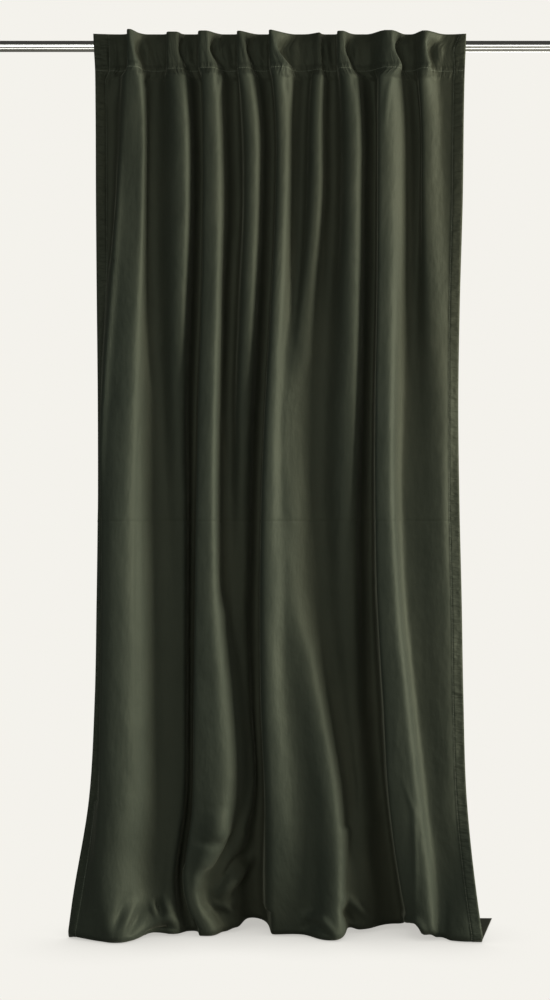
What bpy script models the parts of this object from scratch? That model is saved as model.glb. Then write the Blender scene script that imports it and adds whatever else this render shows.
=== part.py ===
"""A velvet curtain panel that hangs by hidden tabs from a plain round rod.

Units are metres and +Z is up. The origin is on the rod's axis, at the middle of its length, and the cloth's
right side faces -Y. The panel is longer than the rod is high, so its end is tucked back along the floor.
"""

import math

import bmesh
import bpy
import numpy as np

MM = 0.001

# Driving dimensions
CLOTH_WIDTH = 1.40
CLOTH_LENGTH = 2.50
CLOTH_THICKNESS = 0.002
HEM_THICKNESS = 0.003
SIDE_HEM_WIDTH = 0.027
BOTTOM_HEM_WIDTH = 0.060
HEADING_RISE = 0.026
HEADING_DEPTH = 0.095
HEADING_THICKNESS = 0.0032
FLOOR_DROP = 2.287
FLOOR_BEND_RADIUS = 0.018
FLOOR_LIFT_LEFT = 0.35
END_LINE = 0.165
END_EVENNESS = 0.6
ROD_DIAMETER = 0.028
ROD_LENGTH = 1.60
ROD_SIDES = 40
TAB_WIDTH = 0.026
TAB_THICKNESS = 0.0015
TAB_SEWN_LENGTH = 0.006
TAB_TOP_MARGIN = 0.004
TAB_MEETS_ROD = 104.0
GAP = 0.0003

# The cloth's flat places in the heading lie this far in front of the rod's axis
HANG_LINE = 0.018

# Heights of the fold table, in millimetres below the rod's axis
DROPS = (-26, 0, 70, 160, 410, 665, 920, 1175, 1430, 1685, 1940, 2195, 2290)

# One row for each edge, valley, crest and brow (a crest's right shoulder), left to right. Each pair is the
# distance from the rod's middle and the distance in front of the rod's axis, in millimetres, at one of DROPS.
FOLD_LINES = {
    "left_edge": (
        (-480, 24), (-479, 24), (-475, 26), (-474, 26), (-473, 26), (-470, 32), (-466, 42),
        (-465, 47), (-468, 48), (-473, 48), (-488, 50), (-529, 56), (-541, 58)),
    "valley_0": (
        (-440, 18), (-440, 18), (-443, 18), (-440, 18), (-438, 22), (-452, 34), (-460, 42),
        (-461, 46), (-462, 47), (-468, 47), (-480, 50), (-514, 62), (-526, 70)),
    "crest_1": (
        (-388, 64), (-388, 62), (-388, 60), (-396, 57), (-412, 58), (-438, 57), (-450, 63),
        (-448, 75), (-446, 84), (-448, 88), (-450, 91), (-456, 92), (-444, 92)),
    "brow_1": (
        (-376, 70), (-376, 67), (-370, 62), (-361, 60), (-359, 61), (-374, 66), (-390, 73),
        (-404, 84), (-410, 92), (-413, 95), (-418, 97), (-430, 98), (-402, 104)),
    "valley_1": (
        (-333, 18), (-333, 18), (-328, 18), (-330, 18), (-334, 20), (-326, 24), (-314, 26),
        (-302, 30), (-292, 34), (-287, 36), (-290, 38), (-310, 44), (-304, 50)),
    "crest_2": (
        (-276, 44), (-276, 46), (-266, 54), (-258, 62), (-251, 64), (-259, 58), (-261, 45),
        (-252, 39), (-250, 38), (-250, 38), (-254, 40), (-284, 48), (-272, 52)),
    "valley_2": (
        (-234, 18), (-234, 18), (-212, 18), (-207, 4), (-206, -2), (-213, -4), (-224, -2),
        (-230, -2), (-234, -4), (-236, -4), (-238, -2), (-250, 6), (-218, 24)),
    "crest_3": (
        (-200, 52), (-200, 54), (-198, 56), (-196, 56), (-195, 58), (-198, 60), (-204, 64),
        (-208, 68), (-211, 70), (-214, 71), (-218, 68), (-230, 58), (-194, 48)),
    "brow_3": (
        (-190, 54), (-190, 56), (-182, 60), (-178, 60), (-172, 62), (-172, 64), (-177, 68),
        (-180, 71), (-178, 73), (-172, 74), (-166, 73), (-214, 57), (-174, 50)),
    "valley_3": (
        (-145, 18), (-145, 18), (-123, 18), (-122, 2), (-117, -6), (-130, 0), (-136, 10),
        (-136, 16), (-130, 18), (-98, 24), (-90, 24), (-180, 28), (-134, 22)),
    "crest_4": (
        (-97, 53), (-97, 54), (-95, 57), (-82, 55), (-76, 55), (-84, 54), (-95, 44),
        (-97, 28), (-98, 18), (-84, 18), (-74, 20), (-148, 30), (-104, 10)),
    "valley_4": (
        (-57, 18), (-57, 18), (-38, 18), (-28, 4), (-26, 0), (-36, 0), (-50, 2),
        (-61, 0), (-67, -4), (-68, -6), (-62, -4), (-72, -12), (-62, -16)),
    "crest_5": (
        (-18, 64), (-18, 64), (-10, 60), (-3, 54), (-2, 55), (-12, 59), (-26, 63),
        (-34, 67), (-35, 69), (-30, 69), (-18, 68), (-14, 54), (-15, 44)),
    "valley_5": (
        (45, 18), (45, 18), (60, 18), (54, 10), (46, 10), (36, 26), (12, 49),
        (11, 51), (14, 52), (28, 50), (60, 52), (62, 52), (51, 50)),
    "crest_6": (
        (102, 36), (102, 38), (98, 46), (92, 48), (88, 47), (60, 38), (28, 42),
        (26, 46), (30, 49), (82, 55), (128, 66), (144, 80), (141, 88)),
    "valley_6": (
        (128, 18), (128, 18), (130, 18), (128, 6), (128, 0), (112, 14), (96, 26),
        (92, 24), (106, 22), (148, 16), (188, 18), (172, 38), (178, 24)),
    "crest_7": (
        (158, 52), (158, 53), (169, 54), (180, 57), (183, 57), (180, 57), (176, 54),
        (168, 48), (172, 38), (184, 23), (202, 22), (208, 30), (206, 24)),
    "valley_7": (
        (200, 18), (200, 18), (228, 18), (238, 4), (240, 0), (238, 0), (231, 0),
        (228, 0), (228, -2), (236, -3), (258, 0), (290, -6), (300, -8)),
    "crest_8": (
        (262, 58), (262, 59), (256, 58), (253, 59), (252, 59), (250, 61), (246, 63),
        (246, 65), (252, 67), (268, 70), (282, 72), (318, 60), (338, 52)),
    "brow_8": (
        (276, 60), (276, 60), (264, 59), (263, 60), (264, 60), (268, 62), (270, 64),
        (273, 67), (285, 70), (312, 74), (340, 77), (374, 78), (386, 84)),
    "valley_8": (
        (323, 18), (323, 18), (338, 18), (350, 6), (352, 4), (340, 8), (325, 20),
        (319, 31), (331, 39), (356, 41), (384, 46), (410, 60), (408, 76)),
    "crest_9": (
        (368, 57), (368, 58), (362, 47), (366, 40), (370, 37), (382, 34), (400, 34),
        (408, 42), (414, 46), (422, 47), (430, 50), (438, 68), (440, 92)),
    "valley_9": (
        (416, 18), (416, 18), (414, 18), (422, 18), (430, 19), (440, 19), (445, 21),
        (446, 31), (452, 38), (460, 41), (466, 46), (474, 80), (477, 98)),
    "right_edge": (
        (479, 22), (478, 22), (475, 20), (473, 20), (470, 20), (463, 17), (459, 18),
        (460, 31), (465, 37), (469, 41), (477, 47), (500, 84), (512, 98)),
}

# How high each of those lines hangs over the floor where the cloth turns back, in millimetres
FLOOR_LIFTS = (0, 4, 0, 0, 5, 4, 2, 0, 0, 2, 10, 26, 2, 4, 0, 14, 8, 12, 40, 14, 4, 0, 0, 0)

# How far the turned-back end spreads sideways for each metre that it runs back, from left edge to right edge
END_SPREAD = (0.0, 0.24)

# Steps along the cloth between its top edge and the start of the turn, as shares of each stretch
HEADING_STEPS = (0, 0.14, 0.28, 0.52, 0.76)
HANG_STEPS = 17
HANG_DENSER_TOP = 1.25
TURN_STEPS = 4
FLOOR_STEPS = 4
FLANK_STEPS = 4
TAB_STEPS = 10

# Corners sharper than this, in degrees, stay sharp
SHARP_ANGLE = 50.0

# The depth of the folds is found at this many heights, by halving this range this many times
DEPTH_LEVELS = 60
DEPTH_RANGE = (0.4, 2.0)
DEPTH_HALVINGS = 24

# Colours, linear red, green, blue, with roughness and metallic values
FINISHES = {
    "velvet": ((0.022, 0.027, 0.018), 0.9, 0.0),
    "tab_tape": ((0.026, 0.030, 0.022), 0.85, 0.0),
    "rod_metal": ((0.62, 0.62, 0.60), 0.16, 1.0),
}

LINES = np.array(list(FOLD_LINES.values()), float) * MM
LINE_COUNT = len(LINES)
LINE_DROPS = np.array(DROPS) * MM
LIFTS = np.array(FLOOR_LIFTS) * MM


def clear_scene():
    for obj in list(bpy.data.objects):
        bpy.data.objects.remove(obj, do_unlink=True)


def finish(name):
    """The material of one of FINISHES."""
    colour, roughness, metallic = FINISHES[name]
    material = bpy.data.materials.new(name)
    material.use_nodes = True
    shader = material.node_tree.nodes["Principled BSDF"]
    shader.inputs["Base Color"].default_value = (*colour, 1.0)
    shader.inputs["Roughness"].default_value = roughness
    shader.inputs["Metallic"].default_value = metallic
    return material


def smooth_step(value):
    value = np.clip(value, 0.0, 1.0)
    return value * value * (3.0 - 2.0 * value)


def line_values(drop):
    """Where every fold line is at the given drops: an array of drops, lines and (x, forward)."""
    slopes = np.gradient(LINES, LINE_DROPS, axis=1)
    drop = np.clip(np.atleast_1d(drop), LINE_DROPS[0], LINE_DROPS[-1])
    row = np.clip(np.searchsorted(LINE_DROPS, drop, side="right") - 1, 0, len(DROPS) - 2)
    step = (LINE_DROPS[row + 1] - LINE_DROPS[row])[:, None, None]
    t = (drop - LINE_DROPS[row])[:, None, None] / step
    before = np.swapaxes(LINES[:, row], 0, 1)
    after = np.swapaxes(LINES[:, row + 1], 0, 1)
    slope_before = np.swapaxes(slopes[:, row], 0, 1) * step
    slope_after = np.swapaxes(slopes[:, row + 1], 0, 1) * step
    return (
        before * (1 + 2 * t) * (1 - t) ** 2
        + slope_before * t * (1 - t) ** 2
        + after * t * t * (3 - 2 * t)
        - slope_after * t * t * (1 - t)
    )


def section(drop, place, depth):
    """Points of the cloth's middle surface. Place counts the fold lines from the left edge, and depth scales
    how far the folds stand from the hanging line."""
    lines = line_values(drop)
    x = lines[..., 0]
    forward = HANG_LINE + (lines[..., 1] - HANG_LINE) * np.reshape(depth, (-1, 1))
    chord = np.diff(forward, axis=1) / np.diff(x, axis=1)
    same_way = chord[:, 1:] * chord[:, :-1] > 0
    total = np.where(same_way, chord[:, 1:] + chord[:, :-1], 1.0)
    inner = np.where(same_way, 2 * chord[:, 1:] * chord[:, :-1] / total, 0.0)
    slope = np.hstack([chord[:, :1], inner, chord[:, -1:]])

    flank = np.minimum(place.astype(int), LINE_COUNT - 2)
    t = place - flank
    rows = np.arange(len(place))
    x0, x1 = x[rows, flank], x[rows, flank + 1]
    f0, f1 = forward[rows, flank], forward[rows, flank + 1]
    gap = x1 - x0
    steep = np.abs(f1 - f0) / gap
    reach = gap * np.clip(0.36 + 0.30 * steep, 0.36, 1.08)
    turned0, turned1 = slope[rows, flank] == 0, slope[rows, flank + 1] == 0
    reach0 = np.where(turned0, reach, gap / 3)
    reach1 = np.where(turned1, reach, gap / 3)
    curve = (
        (x0, x0 + reach0, x1 - reach1, x1),
        (f0, f0 + slope[rows, flank] * reach0, f1 - slope[rows, flank + 1] * reach1, f1),
    )
    weights = ((1 - t) ** 3, 3 * t * (1 - t) ** 2, 3 * t * t * (1 - t), t**3)
    return tuple(sum(weight * point for weight, point in zip(weights, points)) for points in curve)


def depth_scales():
    """The depth at each of a row of drops at which the section is as long as the cloth is wide."""
    drops = np.linspace(LINE_DROPS[0], LINE_DROPS[-1], DEPTH_LEVELS)
    place = np.linspace(0, LINE_COUNT - 1, (LINE_COUNT - 1) * 4 * FLANK_STEPS + 1)
    scales = []
    for drop in drops:
        low, high = DEPTH_RANGE
        for _ in range(DEPTH_HALVINGS):
            depth = (low + high) / 2
            x, forward = section(np.full(len(place), drop), place, np.full(len(place), depth))
            if np.hypot(np.diff(x), np.diff(forward)).sum() > CLOTH_WIDTH:
                high = depth
            else:
                low = depth
        scales.append(depth)
    return drops, np.array(scales)


def lift_of(place):
    """How high the cloth hangs over the floor where it turns back."""
    line = np.minimum(place.astype(int), LINE_COUNT - 2)
    return LIFTS[line] + (LIFTS[line + 1] - LIFTS[line]) * smooth_step(place - line)


def panel_grid():
    """The middle surface as rows down the cloth and columns across it, and the cloth's half thickness."""
    drops, scales = depth_scales()
    place = np.linspace(0, LINE_COUNT - 1, (LINE_COUNT - 1) * FLANK_STEPS + 1)
    floor = CLOTH_THICKNESS / 2 - FLOOR_DROP
    lift = lift_of(place)
    turn_drop = -(floor + lift + FLOOR_BEND_RADIUS)
    heading_end = HEADING_DEPTH - HEADING_RISE
    turn_length = FLOOR_BEND_RADIUS * math.pi / 2
    spread = np.interp(place, (0, 2, LINE_COUNT - 3, LINE_COUNT - 1), (END_SPREAD[0], 0, 0, END_SPREAD[1]))

    rows = []

    def add_row(drop, angle, run):
        x, forward = section(drop, place, np.interp(drop, drops, scales))
        back = FLOOR_BEND_RADIUS * (1 - math.cos(angle)) + run
        fall = FLOOR_BEND_RADIUS * math.sin(angle)
        end = np.clip(run / (CLOTH_LENGTH - FLOOR_DROP), 0, 1)
        settled = lift * (1 - FLOOR_LIFT_LEFT) * smooth_step(end)
        rows.append(np.stack([x + spread * run, back - forward, -(drop + fall + settled)], axis=-1))

    for share in HEADING_STEPS:
        add_row(np.full(len(place), share * HEADING_DEPTH - HEADING_RISE), 0, 0)
    for step in range(HANG_STEPS):
        share = (step / HANG_STEPS) ** HANG_DENSER_TOP
        add_row(heading_end + share * (turn_drop - heading_end), 0, 0)
    for step in range(TURN_STEPS):
        add_row(turn_drop, step / TURN_STEPS * math.pi / 2, 0)
    rest = CLOTH_LENGTH - (HEADING_RISE + turn_drop + turn_length)
    turn_forward = section(turn_drop, place, np.interp(turn_drop, drops, scales))[1]
    even_rest = END_LINE - FLOOR_BEND_RADIUS + turn_forward
    rest += (even_rest - rest) * END_EVENNESS
    for step in range(FLOOR_STEPS + 1):
        add_row(turn_drop, math.pi / 2, rest * step / FLOOR_STEPS)
    grid = np.array(rows)

    across = np.cumsum(np.linalg.norm(np.diff(grid, axis=1), axis=2), axis=1)
    from_left = np.hstack([np.zeros((len(grid), 1)), across])
    from_side = np.minimum(from_left, from_left[:, -1:] - from_left)
    down = np.cumsum(np.linalg.norm(np.diff(grid, axis=0), axis=2), axis=0)
    from_top = np.vstack([np.zeros((1, len(place))), down])
    from_bottom = from_top[-1:] - from_top
    hemmed = (from_side < SIDE_HEM_WIDTH) | (from_bottom < BOTTOM_HEM_WIDTH)
    thickness = np.where(hemmed, HEM_THICKNESS, CLOTH_THICKNESS)
    thickness[: len(HEADING_STEPS) + 1] = HEADING_THICKNESS
    return grid, thickness / 2


def object_from(name, points, faces, material):
    """A mesh object with its faces pointing out."""
    mesh = bpy.data.meshes.new(name)
    mesh.from_pydata([tuple(point) for point in points], [], faces)
    shaped = bmesh.new()
    shaped.from_mesh(mesh)
    bmesh.ops.recalc_face_normals(shaped, faces=shaped.faces)
    shaped.to_mesh(mesh)
    shaped.free()
    mesh.shade_smooth()
    mesh.set_sharp_from_angle(angle=math.radians(SHARP_ANGLE))
    obj = bpy.data.objects.new(name, mesh)
    obj.data.materials.append(material)
    bpy.context.scene.collection.objects.link(obj)
    return obj


def thick_sheet(name, grid, half, material):
    """One closed sheet, half a thickness to each side of a grid of points."""
    along = np.gradient(grid, axis=1)
    down = np.gradient(grid, axis=0)
    normal = np.cross(down, along)
    normal /= np.linalg.norm(normal, axis=2, keepdims=True)
    row_count, column_count = grid.shape[:2]
    front = (grid + normal * half[..., None]).reshape(-1, 3)
    back = (grid - normal * half[..., None]).reshape(-1, 3)
    back_start = len(front)

    def index(row, column):
        return row * column_count + column

    faces = []
    for row in range(row_count - 1):
        for column in range(column_count - 1):
            quad = [
                index(row, column),
                index(row + 1, column),
                index(row + 1, column + 1),
                index(row, column + 1),
            ]
            faces.append(quad)
            faces.append([back_start + corner for corner in reversed(quad)])
    rim = [index(0, column) for column in range(column_count)]
    rim += [index(row, column_count - 1) for row in range(1, row_count)]
    rim += [index(row_count - 1, column) for column in range(column_count - 2, -1, -1)]
    rim += [index(row, 0) for row in range(row_count - 2, 0, -1)]
    for here, after in zip(rim, rim[1:] + rim[:1]):
        faces.append([here, after, back_start + after, back_start + here])
    return object_from(name, np.vstack([front, back]), faces, material)


def panel(material):
    grid, half = panel_grid()
    return thick_sheet("curtain_panel", grid, half, material)


def rod(material):
    """A round bar with flat ends, along X through the origin."""
    mesh = bpy.data.meshes.new("rod")
    shaped = bmesh.new()
    bmesh.ops.create_cone(
        shaped,
        cap_ends=True,
        segments=ROD_SIDES,
        radius1=ROD_DIAMETER / 2,
        radius2=ROD_DIAMETER / 2,
        depth=ROD_LENGTH,
    )
    shaped.to_mesh(mesh)
    shaped.free()
    mesh.shade_smooth()
    mesh.set_sharp_from_angle(angle=math.radians(SHARP_ANGLE))
    obj = bpy.data.objects.new("rod", mesh)
    obj.data.materials.append(material)
    obj.rotation_euler = (0, math.pi / 2, 0)
    bpy.context.scene.collection.objects.link(obj)
    return obj


def tab_path():
    """The tab's middle line in the YZ plane: sewn under the top edge, over and behind the rod, and down to
    the heading's stitch line."""
    radius = ROD_DIAMETER / 2 + GAP + TAB_THICKNESS / 2
    sewn_y = -HANG_LINE + HEADING_THICKNESS / 2 + GAP + TAB_THICKNESS / 2
    top = HEADING_RISE - TAB_TOP_MARGIN
    bottom = HEADING_RISE - HEADING_DEPTH
    low_end = np.array([sewn_y, bottom + TAB_SEWN_LENGTH])
    reach = math.hypot(*low_end)
    leave = math.atan2(low_end[1], low_end[0]) + math.acos(radius / reach)
    arrive = math.radians(TAB_MEETS_ROD)
    path = [(sewn_y, top), (sewn_y, top - TAB_SEWN_LENGTH / 2)]
    for step in range(TAB_STEPS):
        angle = arrive + (leave - arrive) * step / (TAB_STEPS - 1)
        path.append((radius * math.cos(angle), radius * math.sin(angle)))
    path.append(tuple(low_end))
    path.append((sewn_y, bottom))
    return np.array(path)


def tab(name, valley, material):
    """A loop of tape behind one flat place of the heading. It leans with the cloth that it is sewn to."""
    path = tab_path()
    direction = np.gradient(path, axis=0)
    direction /= np.linalg.norm(direction, axis=1, keepdims=True)
    across = np.stack([-direction[:, 1], direction[:, 0]], axis=1) * TAB_THICKNESS / 2
    middle = line_values(-path[:, 1])[:, valley, 0]
    points = []
    for side in (-TAB_WIDTH / 2, TAB_WIDTH / 2):
        for sign in (-1, 1):
            edge = path + sign * across
            points.append(np.column_stack([middle + side, edge]))
    count = len(path)
    rings = [[corner * count + step for corner in (0, 1, 3, 2)] for step in range(count)]
    faces = [rings[0], rings[-1]]
    for here, after in zip(rings, rings[1:]):
        for corner in range(4):
            following = (corner + 1) % 4
            faces.append([here[corner], here[following], after[following], after[corner]])
    return object_from(name, np.vstack(points), faces, material)


def main():
    clear_scene()
    panel(finish("velvet"))
    rod(finish("rod_metal"))
    tape = finish("tab_tape")
    valleys = [line for line, name in enumerate(FOLD_LINES) if name.startswith("valley")]
    for number, valley in enumerate(valleys, start=1):
        tab(f"tab_{number:02d}", valley, tape)


main()
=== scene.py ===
"""The looks of a velvet curtain panel that hangs by hidden tabs from a plain round rod."""

import math

import bmesh
import bpy
import numpy as np
from mathutils import Matrix, Vector


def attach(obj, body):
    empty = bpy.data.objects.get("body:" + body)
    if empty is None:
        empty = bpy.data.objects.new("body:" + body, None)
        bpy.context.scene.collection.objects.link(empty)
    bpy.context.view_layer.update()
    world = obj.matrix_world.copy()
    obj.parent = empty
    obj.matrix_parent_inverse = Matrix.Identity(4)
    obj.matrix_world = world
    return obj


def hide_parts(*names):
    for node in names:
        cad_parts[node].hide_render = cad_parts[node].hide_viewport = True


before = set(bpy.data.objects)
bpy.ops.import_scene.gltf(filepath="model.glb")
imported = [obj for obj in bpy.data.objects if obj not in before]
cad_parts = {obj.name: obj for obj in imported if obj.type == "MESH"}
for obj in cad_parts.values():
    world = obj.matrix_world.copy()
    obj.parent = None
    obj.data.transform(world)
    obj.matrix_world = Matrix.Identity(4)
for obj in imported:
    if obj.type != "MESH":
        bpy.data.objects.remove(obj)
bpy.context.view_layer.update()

MM = 0.001

# Sizes of the real thing, as in the part's source
CLOTH_WIDTH = 1.40
CLOTH_LENGTH = 2.50
CLOTH_THICKNESS = 0.002
HEM_THICKNESS = 0.003
SIDE_HEM_WIDTH = 0.027
BOTTOM_HEM_WIDTH = 0.060
HEADING_RISE = 0.026
HEADING_DEPTH = 0.095
HEADING_THICKNESS = 0.0032
FLOOR_DROP = 2.287
FLOOR_BEND_RADIUS = 0.018
FLOOR_LIFT_LEFT = 0.35
END_LINE = 0.165
END_EVENNESS = 0.6
ROD_DIAMETER = 0.028
ROD_LENGTH = 1.60
TAB_WIDTH = 0.026
TAB_THICKNESS = 0.0015
TAB_SEWN_LENGTH = 0.006
TAB_TOP_MARGIN = 0.004
TAB_MEETS_ROD = 104.0
GAP = 0.0003

# The cloth's flat places in the heading lie this far in front of the rod's axis
HANG_LINE = 0.018

# Heights of the fold table, in millimetres below the rod's axis
DROPS = (-26, 0, 70, 160, 410, 665, 920, 1175, 1430, 1685, 1940, 2195, 2290)

# One row for each edge, valley, crest and brow (a crest's right shoulder), left to right. Each pair is the
# distance from the rod's middle and the distance in front of its axis, in millimetres, at one of DROPS.
FOLD_LINES = {
    "left_edge": (
        (-480, 24), (-479, 24), (-475, 26), (-474, 26), (-473, 26), (-470, 32), (-466, 42),
        (-465, 47), (-468, 48), (-473, 48), (-488, 50), (-529, 56), (-541, 58)),
    "valley_0": (
        (-440, 18), (-440, 18), (-443, 18), (-440, 18), (-438, 22), (-452, 34), (-460, 42),
        (-461, 46), (-462, 47), (-468, 47), (-480, 50), (-514, 62), (-526, 70)),
    "crest_1": (
        (-388, 64), (-388, 62), (-388, 60), (-396, 57), (-412, 58), (-438, 57), (-450, 63),
        (-448, 75), (-446, 84), (-448, 88), (-450, 91), (-456, 92), (-444, 92)),
    "brow_1": (
        (-376, 70), (-376, 67), (-370, 62), (-361, 60), (-359, 61), (-374, 66), (-390, 73),
        (-404, 84), (-410, 92), (-413, 95), (-418, 97), (-430, 98), (-402, 104)),
    "valley_1": (
        (-333, 18), (-333, 18), (-328, 18), (-330, 18), (-334, 20), (-326, 24), (-314, 26),
        (-302, 30), (-292, 34), (-287, 36), (-290, 38), (-310, 44), (-304, 50)),
    "crest_2": (
        (-276, 44), (-276, 46), (-266, 54), (-258, 62), (-251, 64), (-259, 58), (-261, 45),
        (-252, 39), (-250, 38), (-250, 38), (-254, 40), (-284, 48), (-272, 52)),
    "valley_2": (
        (-234, 18), (-234, 18), (-212, 18), (-207, 4), (-206, -2), (-213, -4), (-224, -2),
        (-230, -2), (-234, -4), (-236, -4), (-238, -2), (-250, 6), (-218, 24)),
    "crest_3": (
        (-200, 52), (-200, 54), (-198, 56), (-196, 56), (-195, 58), (-198, 60), (-204, 64),
        (-208, 68), (-211, 70), (-214, 71), (-218, 68), (-230, 58), (-194, 48)),
    "brow_3": (
        (-190, 54), (-190, 56), (-182, 60), (-178, 60), (-172, 62), (-172, 64), (-177, 68),
        (-180, 71), (-178, 73), (-172, 74), (-166, 73), (-214, 57), (-174, 50)),
    "valley_3": (
        (-145, 18), (-145, 18), (-123, 18), (-122, 2), (-117, -6), (-130, 0), (-136, 10),
        (-136, 16), (-130, 18), (-98, 24), (-90, 24), (-180, 28), (-134, 22)),
    "crest_4": (
        (-97, 53), (-97, 54), (-95, 57), (-82, 55), (-76, 55), (-84, 54), (-95, 44),
        (-97, 28), (-98, 18), (-84, 18), (-74, 20), (-148, 30), (-104, 10)),
    "valley_4": (
        (-57, 18), (-57, 18), (-38, 18), (-28, 4), (-26, 0), (-36, 0), (-50, 2),
        (-61, 0), (-67, -4), (-68, -6), (-62, -4), (-72, -12), (-62, -16)),
    "crest_5": (
        (-18, 64), (-18, 64), (-10, 60), (-3, 54), (-2, 55), (-12, 59), (-26, 63),
        (-34, 67), (-35, 69), (-30, 69), (-18, 68), (-14, 54), (-15, 44)),
    "valley_5": (
        (45, 18), (45, 18), (60, 18), (54, 10), (46, 10), (36, 26), (12, 49),
        (11, 51), (14, 52), (28, 50), (60, 52), (62, 52), (51, 50)),
    "crest_6": (
        (102, 36), (102, 38), (98, 46), (92, 48), (88, 47), (60, 38), (28, 42),
        (26, 46), (30, 49), (82, 55), (128, 66), (144, 80), (141, 88)),
    "valley_6": (
        (128, 18), (128, 18), (130, 18), (128, 6), (128, 0), (112, 14), (96, 26),
        (92, 24), (106, 22), (148, 16), (188, 18), (172, 38), (178, 24)),
    "crest_7": (
        (158, 52), (158, 53), (169, 54), (180, 57), (183, 57), (180, 57), (176, 54),
        (168, 48), (172, 38), (184, 23), (202, 22), (208, 30), (206, 24)),
    "valley_7": (
        (200, 18), (200, 18), (228, 18), (238, 4), (240, 0), (238, 0), (231, 0),
        (228, 0), (228, -2), (236, -3), (258, 0), (290, -6), (300, -8)),
    "crest_8": (
        (262, 58), (262, 59), (256, 58), (253, 59), (252, 59), (250, 61), (246, 63),
        (246, 65), (252, 67), (268, 70), (282, 72), (318, 60), (338, 52)),
    "brow_8": (
        (276, 60), (276, 60), (264, 59), (263, 60), (264, 60), (268, 62), (270, 64),
        (273, 67), (285, 70), (312, 74), (340, 77), (374, 78), (386, 84)),
    "valley_8": (
        (323, 18), (323, 18), (338, 18), (350, 6), (352, 4), (340, 8), (325, 20),
        (319, 31), (331, 39), (356, 41), (384, 46), (410, 60), (408, 76)),
    "crest_9": (
        (368, 57), (368, 58), (362, 47), (366, 40), (370, 37), (382, 34), (400, 34),
        (408, 42), (414, 46), (422, 47), (430, 50), (438, 68), (440, 92)),
    "valley_9": (
        (416, 18), (416, 18), (414, 18), (422, 18), (430, 19), (440, 19), (445, 21),
        (446, 31), (452, 38), (460, 41), (466, 46), (474, 80), (477, 98)),
    "right_edge": (
        (479, 22), (478, 22), (475, 20), (473, 20), (470, 20), (463, 17), (459, 18),
        (460, 31), (465, 37), (469, 41), (477, 47), (500, 84), (512, 98)),
}

# How high each of those lines hangs over the floor where the cloth turns back, in millimetres
FLOOR_LIFTS = (0, 4, 0, 0, 5, 4, 2, 0, 0, 2, 10, 26, 2, 4, 0, 14, 8, 12, 40, 14, 4, 0, 0, 0)

# How far the side edges of the turned-back end spread for each metre that it runs back, left and right, and
# the count of fold lines over which the spread fades out
END_SPREAD = (0.0, 0.24)
SPREAD_LINES = 2

# The nine pinches of the heading, in millimetres from the rod's middle and in front of its axis. Each has a
# left side, and its right side (shoulder and foot) at the top edge, at the narrow neck and at the stitches.
PINCHES = (
    # left foot, left shoulder, right at the top, right at the neck, right at the stitches, forward
    (-386, -390, (-379, -358), (-372, -376), (-362, -354), 68),
    (-288, -291, (-261, -252), (-259, -265), (-248, -242), 44),
    (-206, -210, (-184, -157), (-179, -186), (-165, -152), 54),
    (-106, -110, (-100, -64), (-86, -91), (-77, -68), 52),
    (-24, -28, (-22, 28), (-6, -12), (22, 28), 62),
    (72, 98, (102, 108), (106, 101), (107, 108), 36),
    (150, 146, (163, 185), (167, 161), (181, 184), 52),
    (232, 262, (290, 317), (295, 287), (314, 308), 58),
    (344, 362, (378, 415), (376, 368), (386, 384), 55),
)

# Drops of those three heights in millimetres, and drops in metres between which pinches pass into folds
PINCH_DROPS = (-26, 16, 68)
PINCH_FADE = (0.060, 0.096)

# A pinch's foot and shoulder, as shares of the way from the flat place beside it to its middle, and how
# often and how much its corners are cut to round them
FOOT_SHARE = 0.3
SHOULDER_SHARE = 0.7
PINCH_SMOOTHINGS = 3
CORNER_CUT = 0.25

# How a section is rounded: the curve at a crest or valley reaches this share of the way to the next line,
# and more where the flank between them is steep
TURN_REACH = 0.36
REACH_BY_STEEPNESS = 0.30
LONGEST_REACH = 1.08

# How the depth of the folds is worked out: heights, steps between lines, the range searched, and halvings
SCALE_HEIGHTS = 60
SCALE_STEPS = 16
SCALE_RANGE = (0.4, 2.0)
SCALE_HALVINGS = 24

# How finely the hanging cloth is tabled: heights, and steps between lines
TABLE_HEIGHTS = 320
TABLE_STEPS = 40

# How much every fold leans to the left over the valley beside it, the distance in front of the rod's axis
# at which it stays in place, and the count of lines over which the lean comes in from each side edge
LEAN = 0.09
LEAN_LEVEL = 0.058
LEAN_LINES = 1.5

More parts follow.
